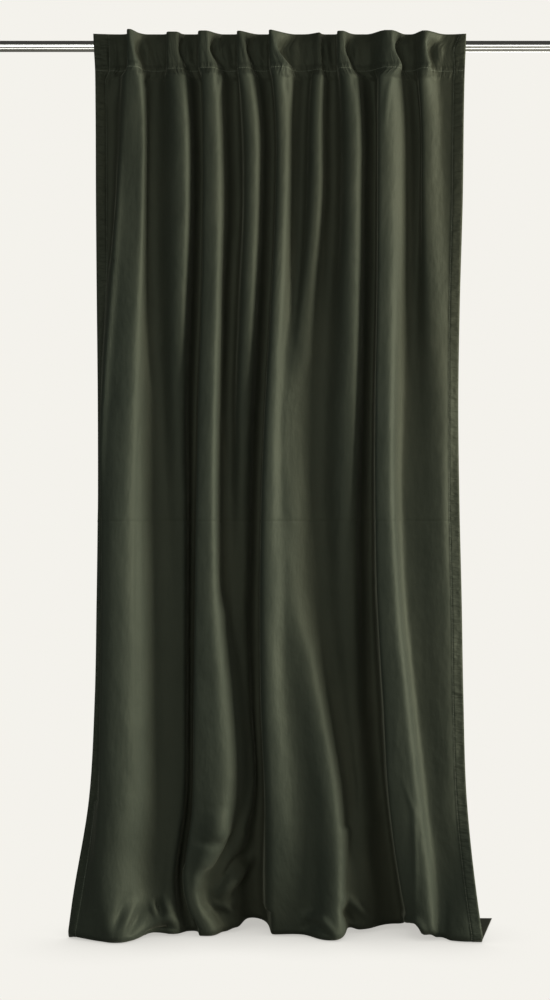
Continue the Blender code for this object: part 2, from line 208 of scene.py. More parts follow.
# Soft ridges and, with a height below 0, troughs: half width and height, then the line that each follows,
# in millimetres from the rod's middle and below its axis
CREASES = (
    # along the folds and hems
    (7, 9, (
        (-411, 300), (-411, 410), (-420, 540), (-429, 665), (-438, 790), (-445, 920), (-452, 1050),
        (-459, 1200))),
    (5, -2, ((-358, 850), (-362, 1200), (-364, 1500), (-358, 1800), (-350, 1980))),
    (20, 6, ((474, -60), (474, 120), (472, 260), (468, 420))),
    (14, -4, ((6, 780), (4, 880), (2, 980), (0, 1100), (-2, 1250))),
    (5, 4, ((308, 1874), (338, 1960), (342, 2080), (342, 2214))),
    # gathers in the heading
    (8, 8, ((-356, -24), (-342, 16), (-340, 60))),
    (7, 6, ((-242, -10), (-236, 30), (-238, 64))),
    (6, 7, ((-161, -20), (-157, 26))),
    (8, 6, ((-140, -10), (-132, 62))),
    (8, 6, ((-58, -16), (-50, 30), (-56, 64))),
    (8, 6, ((32, -18), (42, 20), (36, 60))),
    (8, 5, ((66, -18), (76, 20), (64, 66))),
    (7, 7, ((118, -10), (123, 30), (128, 60))),
    (8, 6, ((190, -20), (198, 20), (196, 66))),
    (8, 5, ((212, -20), (220, 24), (214, 66))),
    (8, 7, ((324, -14), (330, 30), (328, 62))),
    (8, 7, ((400, -20), (410, 20), (404, 64))),
    # below the heading
    (8, 6, ((-428, 20), (-426, 60), (-431, 95), (-440, 150))),
    (7, -5, ((-412, 72), (-414, 110), (-418, 160))),
    (6, -5, ((-332, 78), (-348, 112))),
    (5, -5, ((-157, 72), (-161, 118))),
    (5, 4, ((-147, 64), (-153, 90), (-155, 132))),
    (5, -3, ((15, 78), (15, 140))),
    (5, 3, ((28, 72), (27, 170))),
    (5, -3, ((187, 86), (187, 124))),
    (6, 3, ((291, 74), (272, 140), (266, 230))),
    # buckles and lips near the floor
    (12, -10, ((-386, 2175), (-400, 2212), (-418, 2248))),
    (11, -12, ((-348, 2206), (-362, 2240), (-382, 2272))),
    (9, 6, ((-366, 2188), (-382, 2220), (-402, 2266))),
    (9, 8, ((-340, 2262), (-310, 2246), (-286, 2238), (-266, 2250))),
    (10, -14, ((-344, 2276), (-312, 2268), (-286, 2262), (-258, 2268))),
    (7, 7, ((-330, 2196), (-322, 2216), (-312, 2236))),
    (6, -6, ((-318, 2190), (-310, 2212), (-302, 2228))),
    (7, 7, ((-298, 2184), (-288, 2210), (-280, 2232))),
    (9, -6, ((-206, 2040), (-182, 2042), (-162, 2032))),
    (28, 22, ((-153, 1950), (-155, 1985), (-158, 2032), (-180, 2083), (-203, 2133))),
    (12, 17, ((-66, 2094), (-108, 2136), (-150, 2186))),
    (12, -16, ((-86, 2070), (-128, 2118), (-166, 2166))),
    (6, 7, ((-174, 2206), (-140, 2214), (-112, 2236))),
    (10, -9, ((-168, 2226), (-136, 2236))),
    (8, 8, ((46, 2252), (62, 2232), (108, 2232), (136, 2262))),
    (8, -7, ((52, 2262), (88, 2250), (128, 2276))),
    (3, 1.5, ((-20, 2122), (20, 2125), (58, 2121))),
    (10, 12, ((166, 2184), (196, 2210), (222, 2238), (236, 2262))),
    (10, -10, ((158, 2206), (176, 2236), (186, 2262))),
    (8, 8, ((314, 2259), (326, 2239), (344, 2236), (357, 2251), (367, 2277))),
    (8, -8, ((328, 2264), (342, 2254), (354, 2274))),
)

# A crease's height rises and falls along its line as half a wave, less this share of it at each end
CREASE_END = 0.06

# The fold that the cloth was packed with: its distance down the cloth, its half width and its height
PACKING_CREASE = (1.252, 0.0026, -0.0011)

# Seams: how wide the step up to a hem is, how wide and deep the dent along each stitch line is, and how far
# in from its edges the cloth gets thinner, and to what share
SEAM_STEP = 0.003
BOTTOM_STEP = 0.006
SIDE_DENT = 0.0022
CROSS_DENT = 0.0030
DENT_SHARE = 0.45
EDGE_ROUNDING = 0.0018
EDGE_SHARE = 0.35

# Stitches, and the rings of four corners that shape one: place along it, shares of its width and its height
STITCH_PITCH = 0.0058
STITCH_LENGTH = 0.0040
STITCH_WIDTH = 0.0010
STITCH_HEIGHT = 0.0006
STITCH_RINGS = ((-0.5, 0.6, 0.25), (0.0, 1.0, 1.0), (0.5, 0.6, 0.25))
STITCH_TOP_SHARE = 0.6
RING_CORNERS = 4

# Rows and columns of the fine sheet, as distances down the cloth from its top edge and across it from its
# side, and as counts
HEADING_STEPS = (
    0, 0.0012, 0.004, 0.010, 0.017, 0.025, 0.034, 0.043, 0.052, 0.061, 0.070, 0.078, 0.085, 0.0905,
    0.093, 0.095, 0.097, 0.0995, 0.104, 0.110, 0.117, 0.125, 0.134, 0.145, 0.160, 0.180)
PACKING_STEPS = (-0.030, -0.012, -0.006, -0.0025, 0, 0.0025, 0.006, 0.012, 0.030)
UPPER_ROW = 0.0285
LOWER_ROW = 0.0085
LOWER_ROWS = 50
TURN_ROWS = 12
FLOOR_ROWS = 15
PLAIN_COLUMNS = 266
HEM_STEPS = (0, 0.0012, 0.004, 0.011, 0.019, 0.0235, 0.0255, 0.027, 0.0285, 0.0305, 0.034)

# Steps along a tab, its columns as shares of its width, the share of the sewn length that is sewn at the
# top, and its thickness near each edge, as distance in from the edge and share
TAB_ARC_STEPS = 24
TAB_SEWN_STEPS = 4
TAB_RUN_STEPS = 5
TAB_COLUMNS = (0, 0.02, 0.07, 0.14, 0.3, 0.5, 0.7, 0.86, 0.93, 0.98, 1)
TAB_TOP_SHARE = 0.5
TAB_SELVEDGE = ((0, 0.5), (0.0006, 1.0), (0.0020, 1.0), (0.0030, 0.8))

# The rod's sides, its softened ends, and the angle in degrees above which an edge stays sharp
ROD_SIDES = 96
ROD_END_BEVEL = 0.0008
ROD_BEVEL_STEPS = 3
ROD_SHARP_ANGLE = 50.0

# The camera stands level, in front of the cloth's middle
CAMERA_PLACE = (-0.0128, -4.30, -1.1723)
CAMERA_LENS = 59.9
CAMERA_SENSOR = 36.0

# The plain background, linear, and the floor: its colour in the light that it returns, its shade under the
# cloth, and how far that shade reaches
PALE = (0.905, 0.888, 0.838)
FLOOR_HALF_SIDE = 30.0
FLOOR_COLOUR = (0.30, 0.295, 0.28)
FLOOR_SHADE = (0.50, 0.49, 0.46)
FLOOR_SHADE_REACH = 0.22
FLOOR_SHADE_SAMPLES = 8

# Lights: place, size, power and colour. Those of LIGHTS point at the middle of the cloth, those of
# ROD_LIGHTS light the rod alone, and the background lights everything a little.
CLOTH_MIDDLE = (0.0, 0.0, -1.2)
LIGHTS = {
    "key": ((6.64, -1.44, -0.6), (2.2, 5.2), 940.0, (1.0, 0.965, 0.84)),
    "side": ((2.9, -2.3, -0.9), (0.8, 2.6), 16.0, (1.0, 0.98, 0.88)),
    "fill": ((-1.2, -4.2, -0.4), (2.6, 2.6), 56.0, (0.95, 1.0, 0.96)),
    "back": ((1.3, 3.6, -0.2), (2.4, 2.4), 80.0, (1.0, 0.99, 0.95)),
}
ROD_MIDDLE = (0.0, 0.0, 0.0)
ROD_LIGHTS = {
    "rod_front": ((0.0, -3.0, 0.0), (6.0, 1.7), 60.0, (1.0, 1.0, 0.97)),
    "rod_low": ((0.0, -0.5, -0.9), (4.0, 0.35), 9.0, (1.0, 1.0, 0.97)),
}
WORLD_LIGHT = 0.08

# Colours, linear: the two tones between which each material drifts, and where the drift starts and ends
TONE_STOPS = (0.3, 0.7)
# The velvet's cool and warm tones are painted light, mixed by how far forward the pile stands
VELVET_PAINTED_COOL = ((0.0262, 0.0322, 0.0252), (0.0338, 0.0400, 0.0306))
VELVET_PAINTED_WARM = ((0.0290, 0.0312, 0.0216), (0.0374, 0.0386, 0.0262))
WRONG_SIDE = ((0.015, 0.0165, 0.011), (0.022, 0.0235, 0.016))
THREAD = ((0.18, 0.20, 0.15), (0.25, 0.27, 0.21))
TAPE = ((0.024, 0.027, 0.019), (0.033, 0.037, 0.027))
ROD_METAL = ((0.60, 0.60, 0.57), (0.66, 0.66, 0.63))

# Painted light: the pile's tint is painted cool where the folds stand forward and warm at the bottom of the
# valleys, by Y in metres
PAINTED_TINT_DEPTHS = (-0.075, -0.005)

# Fine grain of the pile: noise scale, bump strength and depth
PILE_GRAIN = (900.0, 0.25, 0.0006)

# Marks in the pile: noise scale, its stretch along U, V and W, bump strength and depth
PILE_MARKS = (
    (55.0, (1.0, 0.7, 1.0), 0.3, 0.003),
    (14.0, (1.5, 0.5, 1.0), 0.42, 0.009),
    (6.5, (1.0, 0.9, 1.0), 0.4, 0.016),
)

# Gathers beside the stitch lines: direction, distances of the lines, half width and the noise's stretch.
# They are whole within PUCKER_CORE of the half width.
PUCKERS = (
    ("X", (0.0135, 1.3865), 0.020, (25.0, 70.0, 1.0)),
    ("Y", (0.052,), 0.060, (52.0, 14.0, 1.0)),
    ("Y", (0.100,), 0.022, (95.0, 22.0, 1.0)),
)
PUCKER_STRENGTH = 0.7
PUCKER_HEIGHT = 0.009
PUCKER_CORE = 0.4

LINES = np.array(list(FOLD_LINES.values()), float) * MM
LINE_COUNT = len(LINES)
LINE_DROPS = np.array(DROPS) * MM
LIFTS = np.array(FLOOR_LIFTS) * MM
FLOOR_LEVEL = -FLOOR_DROP


def smooth_step(value):
    value = np.clip(value, 0.0, 1.0)
    return value * value * (3.0 - 2.0 * value)


def lengths_along(points):
    """The distance along a line of points, at each of them."""
    return np.append(0, np.cumsum(np.linalg.norm(np.diff(points, axis=0), axis=1)))


def line_values(drop):
    """Where every fold line is at the given drops: an array of drops, lines and (x, forward)."""
    slopes = np.gradient(LINES, LINE_DROPS, axis=1)
    drop = np.clip(np.atleast_1d(drop), LINE_DROPS[0], LINE_DROPS[-1])
    row = np.clip(np.searchsorted(LINE_DROPS, drop, side="right") - 1, 0, len(DROPS) - 2)
    step = (LINE_DROPS[row + 1] - LINE_DROPS[row])[:, None, None]
    t = (drop - LINE_DROPS[row])[:, None, None] / step
    before = np.swapaxes(LINES[:, row], 0, 1)
    after = np.swapaxes(LINES[:, row + 1], 0, 1)
    slope_before = np.swapaxes(slopes[:, row], 0, 1) * step
    slope_after = np.swapaxes(slopes[:, row + 1], 0, 1) * step
    return (
        before * (1 + 2 * t) * (1 - t) ** 2
        + slope_before * t * (1 - t) ** 2
        + after * t * t * (3 - 2 * t)
        - slope_after * t * t * (1 - t)
    )


def section(drop, place, depth):
    """Points of the cloth's middle surface. Place counts the fold lines from the left edge, and depth
    scales how far the folds stand from the hanging line."""
    lines = line_values(drop)
    x = lines[..., 0]
    forward = HANG_LINE + (lines[..., 1] - HANG_LINE) * np.reshape(depth, (-1, 1))
    chord = np.diff(forward, axis=1) / np.diff(x, axis=1)
    same_way = chord[:, 1:] * chord[:, :-1] > 0
    total = np.where(same_way, chord[:, 1:] + chord[:, :-1], 1.0)
    inner = np.where(same_way, 2 * chord[:, 1:] * chord[:, :-1] / total, 0.0)
    slope = np.hstack([chord[:, :1], inner, chord[:, -1:]])

    flank = np.minimum(place.astype(int), LINE_COUNT - 2)
    t = place - flank
    rows = np.arange(len(place))
    x0, x1 = x[rows, flank], x[rows, flank + 1]
    f0, f1 = forward[rows, flank], forward[rows, flank + 1]
    gap = x1 - x0
    steep = np.abs(f1 - f0) / gap
    reach = gap * np.clip(TURN_REACH + REACH_BY_STEEPNESS * steep, TURN_REACH, LONGEST_REACH)
    turned0, turned1 = slope[rows, flank] == 0, slope[rows, flank + 1] == 0
    reach0 = np.where(turned0, reach, gap / 3)
    reach1 = np.where(turned1, reach, gap / 3)
    curve = (
        (x0, x0 + reach0, x1 - reach1, x1),
        (f0, f0 + slope[rows, flank] * reach0, f1 - slope[rows, flank + 1] * reach1, f1),
    )
    weights = ((1 - t) ** 3, 3 * t * (1 - t) ** 2, 3 * t * t * (1 - t), t**3)
    return tuple(sum(weight * point for weight, point in zip(weights, points)) for points in curve)


def depth_scales():
    """The depth at each of a row of drops at which the section is as long as the cloth is wide."""
    drops = np.linspace(LINE_DROPS[0], LINE_DROPS[-1], SCALE_HEIGHTS)
    place = np.linspace(0, LINE_COUNT - 1, (LINE_COUNT - 1) * SCALE_STEPS + 1)
    scales = []
    for drop in drops:
        low, high = SCALE_RANGE
        for _ in range(SCALE_HALVINGS):
            depth = (low + high) / 2
            x, forward = section(np.full(len(place), drop), place, np.full(len(place), depth))
            if np.hypot(np.diff(x), np.diff(forward)).sum() > CLOTH_WIDTH:
                high = depth
            else:
                low = depth
        scales.append(depth)
    return drops, np.array(scales)


class Hanging:
    """The hanging cloth as a table of x, forward and place by drop and by distance across the cloth."""

    def __init__(self, across):
        scale_drops, scales = depth_scales()
        self.across = across
        self.drops = np.linspace(LINE_DROPS[0], LINE_DROPS[-1], TABLE_HEIGHTS)
        fine = np.linspace(0, LINE_COUNT - 1, (LINE_COUNT - 1) * TABLE_STEPS + 1)
        table = []
        inward = smooth_step(np.minimum(fine, LINE_COUNT - 1 - fine) / LEAN_LINES)
        for drop in self.drops:
            depth = np.interp(drop, scale_drops, scales)
            x, forward = section(np.full(len(fine), drop), fine, np.full(len(fine), depth))
            x = x + LEAN * (LEAN_LEVEL - forward) * inward
            length = lengths_along(np.stack([x, forward], axis=1))
            spot = across / across[-1] * length[-1]
            table.append([np.interp(spot, length, values) for values in (x, forward, fine)])
        self.table = np.array(table)

    def marks(self, drop):
        """Distances across the cloth to its edges, valleys and the middles of its folds."""
        row = int(np.searchsorted(self.drops, drop))
        place = self.table[row, 2]
        spots = []
        for line, name in enumerate(FOLD_LINES):
            if name.startswith("brow"):
                spots[-1] += 0.5
            else:
                spots.append(float(line))
        return np.interp(spots, place, self.across)

    def at(self, drop):
        """x, forward and place of every column, each column at its own drop."""
        level = (drop - self.drops[0]) / (self.drops[1] - self.drops[0])
        level = np.clip(level, 0, len(self.drops) - 1)
        low = np.minimum(level.astype(int), len(self.drops) - 2)
        t = level - low
        column = np.arange(self.table.shape[2])
        below = self.table[low, :, column].T
        above = self.table[low + 1, :, column].T
        return below + (above - below) * t


def pinched_heading(drop):
    """The heading's cross-section at one drop: mark, x and forward of points from edge to edge. The marks
    count the edges, the flat places and the middles of the pinches."""
    ends = line_values(drop)[0][[0, -1]]
    top, neck, stitches = np.array(PINCH_DROPS) * MM
    lower = smooth_step((drop - top) / (neck - top))
    lowest = smooth_step((drop - neck) / (stitches - neck))
    points = [(0, *ends[0])]
    previous = ends[0][0]
    for number, (foot, shoulder, at_top, at_neck, at_stitches, forward) in enumerate(PINCHES):
        weights = (1 - lower, lower - lowest, lowest)
        pairs = zip(weights, (at_top, at_neck, at_stitches))
        side, right_foot = sum(weight * np.array(pair) for weight, pair in pairs) * MM
        foot, shoulder, forward = foot * MM, shoulder * MM, forward * MM
        mark = 2 * number + 1
        points += [
            (mark, (previous + foot) / 2, HANG_LINE),
            (mark + FOOT_SHARE, foot, HANG_LINE),
            (mark + SHOULDER_SHARE, shoulder, forward),
            (mark + 1, (shoulder + side) / 2, forward),
            (mark + 2 - SHOULDER_SHARE, side, forward),
            (mark + 2 - FOOT_SHARE, right_foot, HANG_LINE),
        ]
        previous = right_foot
    points += [(mark + 2, (previous + ends[1][0]) / 2, HANG_LINE), (mark + 3, *ends[1])]
    curve = np.array(points)
    for _ in range(PINCH_SMOOTHINGS):
        before, after = curve[:-1], curve[1:]
        step = CORNER_CUT * (after - before)
        cut = np.stack([before + step, after - step], axis=1).reshape(-1, 3)
        curve = np.vstack([curve[:1], cut, curve[-1:]])
    return curve


def pinched_points(drop, mark):
    """x and forward of every column in the pinched heading."""
    curve = pinched_heading(drop)
    length = lengths_along(curve[:, 1:])
    whole = np.arange(curve[-1, 0] + 1)
    spot = np.interp(mark, whole, np.interp(whole, curve[:, 0], length))
    return np.interp(spot, length, curve[:, 1]), np.interp(spot, length, curve[:, 2])


def lift_of(place):
    """How high the cloth hangs over the floor where it turns back."""
    line = np.minimum(place.astype(int), LINE_COUNT - 2)
    return LIFTS[line] + (LIFTS[line + 1] - LIFTS[line]) * smooth_step(place - line)


def panel_columns():
    """Distances across the flat cloth from its left edge."""
    left = np.array(HEM_STEPS)
    right = CLOTH_WIDTH - left[::-1]
    middle = np.linspace(left[-1], right[0], PLAIN_COLUMNS + 1)[1:-1]
    return np.concatenate([left, middle, right])


def panel_grid():
    """The cloth's middle surface as rows down and columns across, with the flat cloth's own coordinates."""
    across = panel_columns()
    hanging = Hanging(across)
    floor = CLOTH_THICKNESS / 2 - FLOOR_DROP
    bottom_place = hanging.at(np.full(len(across), LINE_DROPS[-1]))[2]
    lift = lift_of(bottom_place)
    turn_drop = -(floor + lift + FLOOR_BEND_RADIUS)
    turn_length = FLOOR_BEND_RADIUS * math.pi / 2
    edges = (0, SPREAD_LINES, LINE_COUNT - 1 - SPREAD_LINES, LINE_COUNT - 1)
    spread = np.interp(bottom_place, edges, (END_SPREAD[0], 0, 0, END_SPREAD[1]))
    rest = CLOTH_LENGTH - (HEADING_RISE + turn_drop + turn_length)
    mark_spots = hanging.marks(HEADING_DEPTH)
    mark = np.interp(across, mark_spots, np.arange(len(mark_spots)))
    end_reach = rest + (END_LINE - FLOOR_BEND_RADIUS + hanging.at(turn_drop)[1] - rest) * END_EVENNESS

    rows, downs = [], []

    def add_row(drop, angle, share):
        x, forward, _ = hanging.at(drop)
        pinched = 1 - smooth_step((drop[0] - PINCH_FADE[0]) / (PINCH_FADE[1] - PINCH_FADE[0]))
        if pinched > 0:
            pinched_x, pinched_forward = pinched_points(drop[0], mark)
            x = x + (pinched_x - x) * pinched
            forward = forward + (pinched_forward - forward) * pinched
        run = end_reach * share
        back = FLOOR_BEND_RADIUS * (1 - math.cos(angle)) + run
        fall = FLOOR_BEND_RADIUS * math.sin(angle)
        settled = lift * (1 - FLOOR_LIFT_LEFT) * smooth_step(run / (CLOTH_LENGTH - FLOOR_DROP))
        rows.append(np.stack([x + spread * run, back - forward, -(drop + fall + settled)], axis=-1))
        downs.append(drop + HEADING_RISE + FLOOR_BEND_RADIUS * angle + rest * share)

    for step in HEADING_STEPS:
        add_row(np.full(len(across), step - HEADING_RISE), 0, 0)
    start = HEADING_STEPS[-1] - HEADING_RISE
    lower_start = FLOOR_DROP - LOWER_ROWS * LOWER_ROW
    crease_drop = PACKING_CREASE[0] - HEADING_RISE
    packing = [crease_drop + step for step in PACKING_STEPS]
    upper = []
    for low, high in ((start, packing[0]), (packing[-1], lower_start)):
        count = round((high - low) / UPPER_ROW)
        upper += [low + (high - low) * step / count for step in range(1, count)]
        upper += packing if high == packing[0] else []
    for drop in upper:
        add_row(np.full(len(across), drop), 0, 0)
    for step in range(LOWER_ROWS):
        add_row(lower_start + (turn_drop - lower_start) * step / LOWER_ROWS, 0, 0)
    for step in range(TURN_ROWS):
        add_row(turn_drop, step / TURN_ROWS * math.pi / 2, 0)
    for step in range(FLOOR_ROWS + 1):
        add_row(turn_drop, math.pi / 2, step / FLOOR_ROWS)
    return np.array(rows), np.broadcast_to(across, (len(rows), len(across))), np.array(downs)


def normals_of(grid):
    normal = np.cross(np.gradient(grid, axis=0), np.gradient(grid, axis=1))
    return normal / np.linalg.norm(normal, axis=2, keepdims=True)


def crease_heights(grid, down):
    """How far CREASES and the packing crease raise the cloth's face at each point."""
    middle, half_width, rise = PACKING_CREASE
    height = rise * np.exp(-(((down - middle) / half_width) ** 2))
    point = np.stack([grid[..., 0], -grid[..., 2]], axis=-1) / MM
    for half_width, rise, line in CREASES:
        line = np.array(line, float)
        lengths = lengths_along(line)
        nearest = np.full(point.shape[:2], np.inf)
        along = np.zeros(point.shape[:2])
        for start, end, before, after in zip(line, line[1:], lengths, lengths[1:]):
            step = end - start
            t = np.clip(((point - start) @ step) / (step @ step), 0, 1)
            away = np.linalg.norm(point - start - t[..., None] * step, axis=-1)
            closer = away < nearest
            nearest = np.where(closer, away, nearest)
            along = np.where(closer, before + t * (after - before), along)
        fade = np.sin(math.pi * (CREASE_END + (1 - 2 * CREASE_END) * along / lengths[-1]))
        height += rise * MM * fade * np.exp(-((nearest / half_width) ** 2))
    return height


def half_thickness(across, down):
    """Half the cloth's thickness, with its hems, and a dent along each stitch line."""
    side = np.minimum(across, CLOTH_WIDTH - across)
    end = CLOTH_LENGTH - down
    past_side = side - SIDE_HEM_WIDTH
    past_heading = down - HEADING_DEPTH
    past_bottom = end - BOTTOM_HEM_WIDTH
    hem = np.maximum(
        1 - smooth_step(past_side / SEAM_STEP + 0.5),
        1 - smooth_step(past_bottom / BOTTOM_STEP + 0.5),
    )
    heading = 1 - smooth_step(past_heading / SEAM_STEP + 0.5)
    thick = CLOTH_THICKNESS + (HEM_THICKNESS - CLOTH_THICKNESS) * hem
    thick = np.maximum(thick, CLOTH_THICKNESS + (HEADING_THICKNESS - CLOTH_THICKNESS) * heading)
    for away, width in ((past_side, SIDE_DENT), (past_heading, CROSS_DENT), (past_bottom, CROSS_DENT)):
        thick = thick * (1 - DENT_SHARE * np.exp(-((away / width) ** 2)))
    inside = np.minimum(side, np.minimum(down, end))
    round_off = np.sqrt(np.clip(inside / EDGE_ROUNDING, 0.0, 1.0))
    return thick / 2 * (EDGE_SHARE + (1 - EDGE_SHARE) * round_off)


def placed(name, data):
    """A new object in the scene."""
    obj = bpy.data.objects.new(name, data)
    bpy.context.scene.collection.objects.link(obj)
    return obj


def sheet_object(name, grid, half, across, down, materials):
    """One closed sheet, with the flat cloth's coordinates in metres as a UV map. Its faces take the first
    material in front and the second behind."""
    normal = normals_of(grid)
    row_count, column_count = grid.shape[:2]
    front = (grid + normal * half[..., None]).reshape(-1, 3)
    back = (grid - normal * half[..., None]).reshape(-1, 3)
    count = len(front)
    row, column = np.meshgrid(np.arange(row_count - 1), np.arange(column_count - 1), indexing="ij")
    corner = (row * column_count + column).reshape(-1)
    quads = np.stack([corner, corner + column_count, corner + column_count + 1, corner + 1], axis=1)
    rim = list(range(column_count))
    rim += [step * column_count + column_count - 1 for step in range(1, row_count)]
    rim += [(row_count - 1) * column_count + step for step in range(column_count - 2, -1, -1)]
    rim += [step * column_count for step in range(row_count - 2, 0, -1)]
    rim = np.array(rim)
    following = np.roll(rim, -1)
    sides = np.stack([rim, following, following + count, rim + count], axis=1)
    faces = np.concatenate([quads, quads[:, ::-1] + count, sides])

    mesh = bpy.data.meshes.new(name)
    mesh.from_pydata(np.vstack([front, back]).tolist(), [], faces.tolist())
    flat = np.stack([across.reshape(-1), down.reshape(-1)], axis=1)
    flat = np.vstack([flat, flat])
    loops = np.empty(len(mesh.loops), np.int32)
    mesh.loops.foreach_get("vertex_index", loops)
    cloth_map = mesh.uv_layers.new(name="cloth")
    cloth_map.uv.foreach_set("vector", flat[loops].astype(np.float32).ravel())
    material_index = np.zeros(len(faces), np.int32)
    material_index[len(quads) : 2 * len(quads)] = 1
    mesh.polygons.foreach_set("material_index", material_index)
    mesh.shade_smooth()
    for material in materials:
        mesh.materials.append(material)
    return placed(name, mesh)


# Materials


def new_material(name):
    material = bpy.data.materials.new(name)
    material.use_nodes = True
    nodes = material.node_tree.nodes
    return material, nodes, material.node_tree.links, nodes["Principled BSDF"]


def cloth_position(nodes, links, scale):
    """The flat cloth's coordinates, stretched by scale."""
    flat = nodes.new("ShaderNodeUVMap")
    flat.uv_map = "cloth"
    mapping = nodes.new("ShaderNodeMapping")
    mapping.inputs["Scale"].default_value = scale
    links.new(flat.outputs["UV"], mapping.inputs["Vector"])
    return mapping.outputs["Vector"]


def noise(nodes, links, vector, scale, detail=2.0, roughness=0.5):
    node = nodes.new("ShaderNodeTexNoise")
    node.inputs["Scale"].default_value = scale
    node.inputs["Detail"].default_value = detail
    node.inputs["Roughness"].default_value = roughness
    links.new(vector, node.inputs["Vector"])
    return node.outputs["Fac"]


def calculated(nodes, links, operation, first, second=None):
    node = nodes.new("ShaderNodeMath")
    node.operation = operation
    for socket, value in zip(node.inputs, (first, second)):
        if isinstance(value, float):
            socket.default_value = value
        elif value is not None:
            links.new(value, socket)
    return node.outputs["Value"]


def ranged(nodes, links, value, before=(0.0, 1.0), after=(0.0, 1.0), interpolation="LINEAR"):
    """A value, moved from one range to another."""
    node = nodes.new("ShaderNodeMapRange")
    node.interpolation_type = interpolation
    node.inputs["From Min"].default_value, node.inputs["From Max"].default_value = before
    node.inputs["To Min"].default_value, node.inputs["To Max"].default_value = after
    links.new(value, node.inputs["Value"])
    return node.outputs["Result"]


def ramp(nodes, links, value, stops):
    node = nodes.new("ShaderNodeValToRGB")
    elements = node.color_ramp.elements
    while len(elements) < len(stops):
        elements.new(0.5)
    for element, (position, colour) in zip(elements, stops):
        element.position = position
        element.color = (*colour, 1.0)
    links.new(value, node.inputs["Fac"])
    return node.outputs["Color"]


def drifting(nodes, links, value, tones):
    """A colour that drifts between two tones."""
    return ramp(nodes, links, value, tuple(zip(TONE_STOPS, tones)))


def ribs(nodes, links, position, direction, scale, distortion):
    node = nodes.new("ShaderNodeTexWave")
    node.wave_type = "BANDS"
    node.bands_direction = direction
    node.inputs["Scale"].default_value = scale
    node.inputs["Distortion"].default_value = distortion
    links.new(position, node.inputs["Vector"])
    return node.outputs["Fac"]


def parts_of(nodes, links, vector):
    node = nodes.new("ShaderNodeSeparateXYZ")
    links.new(vector, node.inputs["Vector"])
    return node.outputs


def object_position(nodes):
    return nodes.new("ShaderNodeTexCoord").outputs["Object"]


def mixed(nodes, links, share, first, second):
    """Two colours, mixed. The node has a pair of sockets for each kind of value, so the colour pair is
    looked up."""
    node = nodes.new("ShaderNodeMix")
    node.data_type = "RGBA"
    first_socket, second_socket = [socket for socket in node.inputs if socket.type == "RGBA"]
    links.new(share, node.inputs["Factor"])
    links.new(first, first_socket)
    links.new(second, second_socket)
    return next(socket for socket in node.outputs if socket.type == "RGBA")


def bump(nodes, links, height, strength, distance, normal=None):
    node = nodes.new("ShaderNodeBump")
    node.inputs["Strength"].default_value = strength
    node.inputs["Distance"].default_value = distance
    links.new(height, node.inputs["Height"])
    if normal is not None:
        links.new(normal, node.inputs["Normal"])
    return node.outputs["Normal"]


def gathers_near(nodes, links, plain, gathers):
    """The height of the gathers beside one row of PUCKERS."""
    axis, lines, half_width, stretch = gathers
    across = parts_of(nodes, links, plain)[axis]
    near = None
    for line in lines:
        away = calculated(nodes, links, "ABSOLUTE", calculated(nodes, links, "SUBTRACT", across, line))
        near = away if near is None else calculated(nodes, links, "MINIMUM", near, away)
    mask = ranged(nodes, links, near, (half_width, half_width * PUCKER_CORE), interpolation="SMOOTHSTEP")
    folds = noise(nodes, links, cloth_position(nodes, links, stretch), scale=1.0)
    return calculated(nodes, links, "MULTIPLY", folds, mask)


def velvet_material():
    """Short pile: two greens that drift at random and are mixed by depth as painted light (cool where the
    folds stand forward, warm in the valleys), sheen at its edges, crushed marks, and gathers beside the
    seams.
    """
    material, nodes, links, shader = new_material("velvet_pile")
    drift = noise(nodes, links, cloth_position(nodes, links, (1.0, 0.45, 1.0)), scale=9.0, detail=3.0)
    painted_cool = drifting(nodes, links, drift, VELVET_PAINTED_COOL)
    painted_warm = drifting(nodes, links, drift, VELVET_PAINTED_WARM)
    # Painted light: a cool tint where the folds stand forward, a warm tint at the bottom of the valleys
    depth = ranged(nodes, links, parts_of(nodes, links, object_position(nodes))["Y"], PAINTED_TINT_DEPTHS)
    links.new(mixed(nodes, links, depth, painted_cool, painted_warm), shader.inputs["Base Color"])
    shader.inputs["Roughness"].default_value = 0.60
    shader.inputs["Specular IOR Level"].default_value = 0.22
    shader.inputs["Specular Tint"].default_value = (0.92, 1.0, 0.71, 1.0)
    shader.inputs["Sheen Weight"].default_value = 0.25
    shader.inputs["Sheen Roughness"].default_value = 0.38
    shader.inputs["Sheen Tint"].default_value = (0.65, 0.66, 0.50, 1.0)
    plain = cloth_position(nodes, links, (1.0, 1.0, 1.0))
    grain_scale, grain_strength, grain_depth = PILE_GRAIN
    grain = noise(nodes, links, plain, grain_scale)
    normal = bump(nodes, links, grain, grain_strength, grain_depth)
    for scale, stretch, strength, distance in PILE_MARKS:
        marks = noise(nodes, links, cloth_position(nodes, links, stretch), scale, detail=3.0)
        normal = bump(nodes, links, marks, strength, distance, normal)
    for row in PUCKERS:
        height = gathers_near(nodes, links, plain, row)
        normal = bump(nodes, links, height, PUCKER_STRENGTH, PUCKER_HEIGHT, normal)
    links.new(normal, shader.inputs["Normal"])
    return material


def wrong_side_material():
    """Plain ground weave with fine ribs down the cloth."""
    material, nodes, links, shader = new_material("velvet_wrong_side")
    position = cloth_position(nodes, links, (1.0, 1.0, 1.0))
    drift = noise(nodes, links, position, scale=14.0, detail=3.0)
    links.new(drifting(nodes, links, drift, WRONG_SIDE), shader.inputs["Base Color"])
    shader.inputs["Roughness"].default_value = 0.95
    shader.inputs["Specular IOR Level"].default_value = 0.04
    weave = ribs(nodes, links, position, "X", scale=120.0, distortion=0.4)
    links.new(bump(nodes, links, weave, strength=0.3, distance=0.0006), shader.inputs["Normal"])
    return material


def thread_material():
    material, nodes, links, shader = new_material("sewing_thread")
    twist = noise(nodes, links, object_position(nodes), scale=700.0)
    links.new(drifting(nodes, links, twist, THREAD), shader.inputs["Base Color"])
    shader.inputs["Roughness"].default_value = 0.7
    return material


